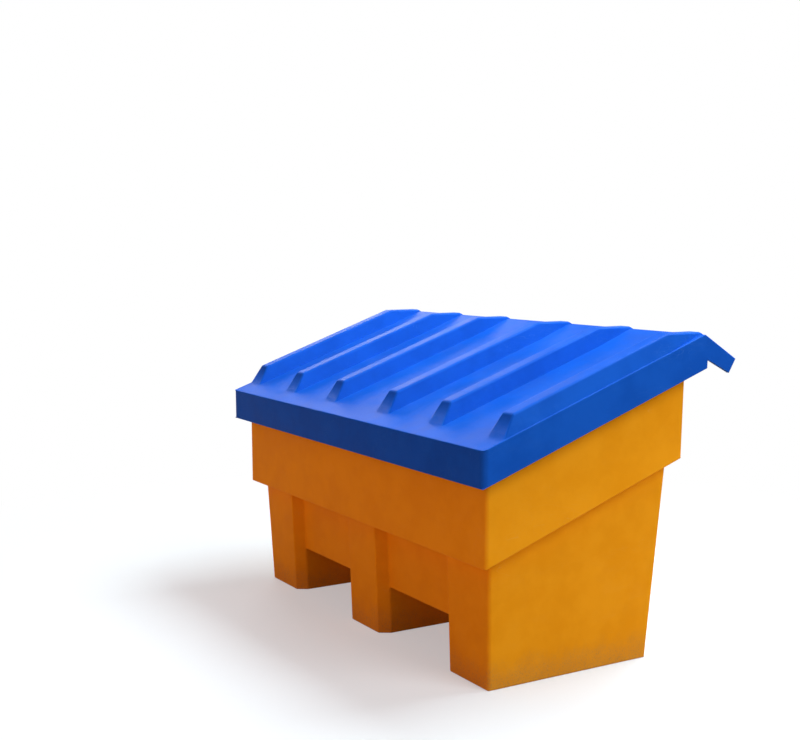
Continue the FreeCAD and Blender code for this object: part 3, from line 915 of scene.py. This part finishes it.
# %% Finish both shells
def dress(piece, node_name, material, slot):
    """Give a piece its finish and let it stand for a CAD node on the body that node rides on."""
    piece.data.materials.clear()
    piece.data.materials.append(material)
    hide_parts(node_name)
    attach(piece, body_of(frame["nodes"][node_name])[0])
    print(piece.name, "faces", len(piece.data.polygons))


dress(tub_shell, "tub", tub_finish, "tub_plastic")
dress(lid_shell, "lid", lid_finish, "lid_plastic")

# %% [markdown]
# ## Brackets and leaves
#
# A bracket is a 3 mm plate on the tub's rear wall with two cheeks for the pin. A leaf is a plate
# under the tail, rolled to a knuckle that turns between the cheeks. One of each is drawn at the
# middle of the bin and copied to the three hinges. The leaf is drawn lying flat, where its outline
# is simple, and then turned to the tail's slope. Their cut edges are eased, and the cheeks' roots
# get the small inside radius of a fold.

# %% Helpers for brackets and leaves
PLATE, PLATE_X = 3 * MM, 39 * MM
PIN_BORE, KNUCKLE, CHEEK = 4.08 * MM, 7 * MM, 6.4 * MM
KNUCKLE_X, CHEEK_X = 14 * MM, 14.5 * MM
BOLT_X = PLATE_X - EDGE_DISTANCE
FOLD_RADIUS, PLATE_EDGE, LEAF_EDGE = 1.2 * MM, 0.5 * MM, 0.4 * MM
SMALL_DOUBLES = 0.02 * MM
galvanised = (galvanised_finish, "galvanised_steel")
plated = (plated_finish, "bright_steel")


def bar_across(centre, radius, low_x, high_x):
    """Round bar across the bin."""
    bar = upright_bar(40, radius, low_x, high_x)
    aim(bar, 0, centre, Vector((1, 0, 0)))
    return bar


def drill_pair(piece, seat, direction):
    for x in (-BOLT_X, BOLT_X):
        drill = upright_bar(24, HOLE_RADIUS, -20 * MM, 20 * MM)
        aim(drill, x, seat, direction)
        combine(piece, drill, "DIFFERENCE")


# %% Model one bracket
def model_bracket():
    half_height = 14 * MM
    low, high = bracket_seat.z - half_height, bracket_seat.z + half_height
    front, back = BAND_Y, BAND_Y + PLATE
    plate = [(front, low), (back, low), (back, high), (front, high)]
    piece = side_block(plate, -PLATE_X, PLATE_X)
    root = front + PLATE / 2
    cheek = [(root, low), (back, low), (hinge_axis.y, hinge_axis.z - CHEEK),
             (hinge_axis.y, hinge_axis.z + CHEEK), (back, high), (root, high)]
    for low_x in (-CHEEK_X - PLATE, CHEEK_X):
        combine(piece, side_block(cheek, low_x, low_x + PLATE), "UNION")
        combine(piece, bar_across(hinge_axis, CHEEK, low_x, low_x + PLATE), "UNION")
    combine(piece, bar_across(hinge_axis, PIN_BORE, -PLATE_X, PLATE_X), "DIFFERENCE")
    merge_flat_faces(piece, SMALL_DOUBLES)
    return piece


def bracket_radius(first, second, normals):
    middle = (first + second) / 2
    near = 0.1 * MM
    by_cheeks = abs(middle.x) < CHEEK_X + PLATE + near
    at_root = by_cheeks and abs(middle.y - BAND_Y - PLATE) < near
    return FOLD_RADIUS if at_root else PLATE_EDGE


bracket = model_bracket()
bracket.name = "bracket_master"
soften(bracket, bracket_radius, 2, 50)
drill_pair(bracket, bracket_seat, into_tub)


# %% Model one leaf
def model_leaf():
    """The leaf, laid flat with the hinge axis through the origin."""
    under, over = KNUCKLE - PLATE, KNUCKLE
    start, end = 9.5 * MM, 36.5 * MM
    plate = [(start, under), (start, over), (end, over), (end, under)]
    tongue = [(start + PLATE, under)]
    first_turn, last_turn, steps = math.degrees(math.asin(under / over)), -270, 30
    for step in range(steps + 1):
        turn = math.radians(first_turn + (last_turn - first_turn) * step / steps)
        tongue.append((KNUCKLE * math.cos(turn), KNUCKLE * math.sin(turn)))
    tongue.append((start + PLATE, over))
    piece = side_block(plate, -PLATE_X, PLATE_X)
    combine(piece, side_block(tongue, -KNUCKLE_X, KNUCKLE_X), "UNION")
    combine(piece, bar_across(Vector(), PIN_BORE, -PLATE_X, PLATE_X), "DIFFERENCE")
    merge_flat_faces(piece, SMALL_DOUBLES)
    return piece


leaf = model_leaf()
leaf.name = "leaf_master"
soften(leaf, lambda first, second, normals: LEAF_EDGE, 2, 50)
drill_pair(leaf, Vector((0, LEAF_REACH, LEAF_RISE)), Vector((0, 0, -1)))
leaf.location, leaf.rotation_euler.x = (0, hinge_axis.y, hinge_axis.z), -TAIL_ANGLE
settle(leaf)

# %% Copy both to the three hinges
def duplicate(piece):
    select_only(piece)
    bpy.ops.object.duplicate()
    return bpy.context.object


for master, node_stem, piece_stem in (
        (bracket, "hinge_bracket_", "wall_bracket_"), (leaf, "lid_leaf_", "rolled_leaf_")):
    even_shading(master, 30)
    for side in sides:
        copy = duplicate(master)
        low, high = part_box(node_stem + side)
        copy.location.x = (low[0] + high[0]) / 2
        settle(copy)
        copy.name = piece_stem + side
        dress(copy, node_stem + side, *galvanised)
    bpy.data.objects.remove(master, do_unlink=True)

# %% [markdown]
# ## Pins, caps and washers
#
# These are turned and stamped pieces, already round in the frame. A CAD node's mesh is loose
# triangles and may not be changed, so each is copied, its doubled points are merged and its edges
# are eased.

# %% Ease the pins, the caps and the washers
def clean_copy(node_name, piece_name):
    node = frame["nodes"][node_name]
    piece = node.copy()
    piece.data = node.data.copy()
    piece.name = piece_name
    piece.parent = None
    piece.data.materials.clear()
    scene.collection.objects.link(piece)
    select_only(piece)
    bpy.ops.mesh.customdata_custom_splitnormals_clear()
    merge_flat_faces(piece, SMALL_DOUBLES, 0.6)
    return piece


eased = [("hinge_pin_" + side, "headed_pin_" + side, 0.5 * MM) for side in sides]
eased += [("pin_cap_" + side, "push_cap_" + side, 0.7 * MM) for side in sides]
eased += [(kind + "_washers", kind + "_wide_washers", 0.25 * MM) for kind in ("bracket", "leaf")]
for node_name, piece_name, radius in eased:
    piece = clean_copy(node_name, piece_name)
    soften(piece, lambda first, second, normals: radius, 2, 50)
    even_shading(piece, 30)
    dress(piece, node_name, *plated)

# %% [markdown]
# ## A round-headed bolt
#
# The bolt is drawn upright with the seat of its head at the origin. Its head is a circle that is
# extruded and scaled ring by ring along an arc. The shank is extruded out of the head's seat, and
# the thread is a row of rings, which at this size can't be told from a helix.

# %% Model one bolt
THREAD_PITCH, THREAD_DEPTH = 1.25 * MM, 0.55 * MM
END_CHAMFER, END_SCALE = 1.0 * MM, 0.8
RIM_RISE, DOME_RINGS = 0.8 * MM, 7


def push(distance, scale=1.0):
    """Extrude the selected face along Z and scale its new end about the Z axis."""
    bpy.ops.mesh.extrude_region_move(TRANSFORM_OT_translate={"value": (0, 0, distance)})
    bpy.ops.transform.resize(value=(scale, scale, 1), center_override=(0, 0, 0))


def dome_rings():
    """Radius and height of each ring of the head's dome, from the rim to the small flat on top."""
    sphere = (HEAD_RADIUS ** 2 + HEAD_HEIGHT ** 2) / (2 * HEAD_HEIGHT)
    full_turn = math.asin(HEAD_RADIUS / sphere)
    low = math.cos(full_turn)
    rings = []
    for step in range(1, DOME_RINGS + 1):
        turn = full_turn * (1 - step / (DOME_RINGS + 0.6))
        height = RIM_RISE + (HEAD_HEIGHT - RIM_RISE) * (math.cos(turn) - low) / (1 - low)
        rings.append((sphere * math.sin(turn), height))
    return rings


def model_bolt():
    select_none()
    bpy.ops.mesh.primitive_circle_add(vertices=32, radius=HEAD_RADIUS, fill_type="NGON")
    piece = bpy.context.object
    edit(piece, "ALL", "FACE")
    push(-RIM_RISE)
    radius, height = HEAD_RADIUS, RIM_RISE
    for ring_radius, ring_height in dome_rings():
        push(height - ring_height, ring_radius / radius)
        radius, height = ring_radius, ring_height
    leave_edit()
    edit_faces(piece, lambda place, normal: abs(place.z) < 0.1 * MM and abs(normal.z) > 0.9)
    bpy.ops.mesh.inset(thickness=HEAD_RADIUS - SHANK_RADIUS)
    plain_length = GRIP + MM
    push(plain_length)
    turns = int((SHANK_LENGTH - plain_length - END_CHAMFER) / THREAD_PITCH)
    narrow = (SHANK_RADIUS - THREAD_DEPTH) / SHANK_RADIUS
    for _ in range(turns):
        push(THREAD_PITCH / 2, narrow)
        push(THREAD_PITCH / 2, 1 / narrow)
    push(SHANK_LENGTH - plain_length - turns * THREAD_PITCH, END_SCALE)
    leave_edit()
    edit(piece, "ALL", "FACE")
    bpy.ops.mesh.normals_make_consistent(inside=False)
    leave_edit()
    bpy.ops.object.shade_smooth_by_angle(angle=math.radians(35))
    return piece


bolt = model_bolt()
print("bolt faces", len(bolt.data.polygons))

# %% [markdown]
# ## A hexagon nut
#
# A nut is a hexagon bar, turned to a shallow cone at both ends. The cone is made as on a lathe: a
# disc a little larger than the corners, whose rim slopes at both ends, cuts the hexagon with a
# Boolean modifier.

# %% Model one nut
NUT_WIDTH, NUT_THICKNESS, NUT_BORE = 13 * MM, 6.5 * MM, 4.05 * MM
CONE_WIDTH, CONE_DROP = 1.25 * MM, 1.1 * MM


def model_nut():
    corner = NUT_WIDTH / math.sqrt(3)
    piece = upright_bar(6, corner, 0, NUT_THICKNESS)
    cone = upright_bar(48, corner * 1.02, 0, NUT_THICKNESS)
    edit_faces(cone, lambda place, normal: abs(normal.z) > 0.9)
    bpy.ops.mesh.inset(thickness=CONE_WIDTH)
    leave_edit()
    edit(cone, mode="VERT")
    leave_edit()
    for vertex in cone.data.vertices:
        vertex.select = vertex.co.xy.length > corner
    bpy.ops.object.mode_set(mode="EDIT")
    rim_share = 1 - CONE_DROP / NUT_THICKNESS
    bpy.ops.transform.resize(value=(1, 1, rim_share), center_override=(0, 0, NUT_THICKNESS / 2))
    leave_edit()
    combine(piece, cone, "INTERSECT")
    combine(piece, upright_bar(32, NUT_BORE, -MM, NUT_THICKNESS + MM), "DIFFERENCE")
    select_only(piece)
    bpy.ops.object.shade_smooth_by_angle(angle=math.radians(20))
    return piece


nut = model_nut()
print("nut faces", len(nut.data.polygons))

# %% [markdown]
# ## Placing the fasteners
#
# Each bolt and each nut is one copy with its own mesh, aimed like the drill that made its hole, and
# the six of one kind are joined into one piece.

# %% Copy and join
def six_of(master, name, seat, direction):
    """Copy the upright master to all six places and join the copies."""
    copies = []
    for x in across_places:
        copies.append(duplicate(master))
        aim(copies[-1], x, seat, direction)
    select_none()
    for copy in copies:
        copy.select_set(True)
    bpy.context.view_layer.objects.active = copies[0]
    bpy.ops.object.join()
    copies[0].name = name
    return copies[0]


for kind, seat, direction in (("bracket", bracket_seat, into_tub), ("leaf", leaf_seat, into_lid)):
    dress(six_of(bolt, kind + "_round_bolts", seat, direction), kind + "_bolts", *plated)
    behind = seat + direction * (GRIP + WASHER_THICKNESS)
    dress(six_of(nut, kind + "_hexagon_nuts", behind, direction), kind + "_nuts", *plated)
for master in (bolt, nut):
    bpy.data.objects.remove(master, do_unlink=True)

# %% [markdown]
# ## Floor
#
# The floor is pale paint mixed with plain white where the camera sees it, so the bin's shadow stays
# faint. Further out it fades to plain white, so no horizon shows. Mirror-like rays see the same.
# For all other light it is a darker, warm brown, as paving is, so that it doesn't flood the upright
# walls from below.

# %% Build the floor
PAVING_BROWN, FLOOR_PAINT = (0.40, 0.25, 0.17, 1), (0.84, 0.92, 0.98, 1)
WHITE_NEAR, FADE_START, FADE_END = 0.4, 0.65, 1.75
select_none()
bpy.ops.mesh.primitive_circle_add(vertices=128, radius=40, fill_type="NGON", location=(0, 0, 0))
floor = bpy.context.object
floor.name = "floor"
floor_finish, tree, shader = new_material("floor_paint")
shader["Roughness"].default_value = 0.8
shader["Specular IOR Level"].default_value = 0.1
rays = add(tree, "LightPath").outputs
seen = calc(tree, "MAXIMUM", rays["Is Camera Ray"], rays["Is Glossy Ray"])
seen = calc(tree, "MAXIMUM", seen, rays["Is Transmission Ray"])
tree.links.new(blend(tree, seen, PAVING_BROWN, FLOOR_PAINT), shader["Base Color"])
from_bin = add(tree, "VectorMath", {0: add(tree, "TexCoord").outputs["Object"]}, operation="LENGTH")
faded = remap(tree, from_bin.outputs["Value"], FADE_START, FADE_END, to_low=WHITE_NEAR)
white = add(tree, "Emission", {"Color": (1, 1, 1, 1), "Strength": 1.0})
paint = tree.nodes["Principled BSDF"].outputs["BSDF"]
whiteness = times(tree, faded, seen)
floor_mix = add(tree, "MixShader", {0: whiteness, 1: paint, 2: white.outputs["Emission"]})
tree.links.new(floor_mix.outputs["Shader"], tree.nodes["Material Output"].inputs["Surface"])
floor.data.materials.append(floor_finish)
print("floor white from", FADE_END, "m on")

# %% [markdown]
# ## Room
#
# A dim warm room lights the bin from all sides. The camera sees plain white behind the bin, and
# mirror-like rays see that white near the horizon and the dim room higher up.

# %% Build the room
world = bpy.data.worlds.new("studio")
world.use_nodes = True
tree = world.node_tree
room = tree.nodes["Background"]
room.inputs["Color"].default_value = (1.0, 0.87, 0.78, 1)
room.inputs["Strength"].default_value = 0.25
backdrop = add(tree, "Background", {"Color": (1, 1, 1, 1), "Strength": 1.0}).outputs["Background"]
rays = add(tree, "LightPath").outputs
height = add(tree, "SeparateXYZ", {0: add(tree, "TexCoord").outputs["Generated"]}).outputs["Z"]
near_horizon = remap(tree, height, low=0.05, high=0.35, to_low=1.0, to_high=0.0)
mirrored = times(tree, rays["Is Glossy Ray"], near_horizon)
seen = calc(tree, "MAXIMUM", rays["Is Camera Ray"], rays["Is Transmission Ray"])
seen = calc(tree, "MAXIMUM", seen, mirrored)
sky = add(tree, "MixShader", {0: seen, 1: room.outputs["Background"], 2: backdrop})
tree.links.new(sky.outputs["Shader"], tree.nodes["World Output"].inputs["Surface"])
scene.world = world
print("room strength", round(room.inputs["Strength"].default_value, 2))

# %% [markdown]
# ## Light
#
# Four large soft lamps stand around the bin. The strongest is above and behind, and the next is on
# the right. The front gets only a weak reddish one, so it stays darker and warmer than the side, as
# in the photograph.

# %% Build the light
def softbox(name, place, target, size, power, colour=(1, 1, 1)):
    data = bpy.data.lights.new(name, "AREA")
    data.shape = "RECTANGLE"
    data.size, data.size_y = size
    data.energy = power
    data.color = colour
    lamp = bpy.data.objects.new(name, data)
    lamp.location = place
    lamp.rotation_euler = (Vector(target) - Vector(place)).to_track_quat("-Z", "Y").to_euler()
    scene.collection.objects.link(lamp)
    print(name, power, "W")


softbox("side_window", (3.1, 0.8, 2.7), target=(0.2, 0.0, 0.4), size=(2.2, 2.2),
        power=74, colour=(0.95, 0.99, 1.0))
softbox("top_window", (0.2, 1.5, 3.2), target=(0.0, 0.0, 0.5), size=(2.2, 1.6),
        power=150, colour=(0.90, 0.99, 1.0))
softbox("rear_window", (-3.2, 1.1, 2.1), target=(0.0, 0.0, 0.5), size=(1.6, 1.6), power=34)
softbox("front_fill", (0.2, -3.6, 1.3), target=(0.0, 0.0, 0.3), size=(2.0, 1.4),
        power=27, colour=(1.0, 0.32, 0.38))
scene.view_settings.view_transform = "Standard"
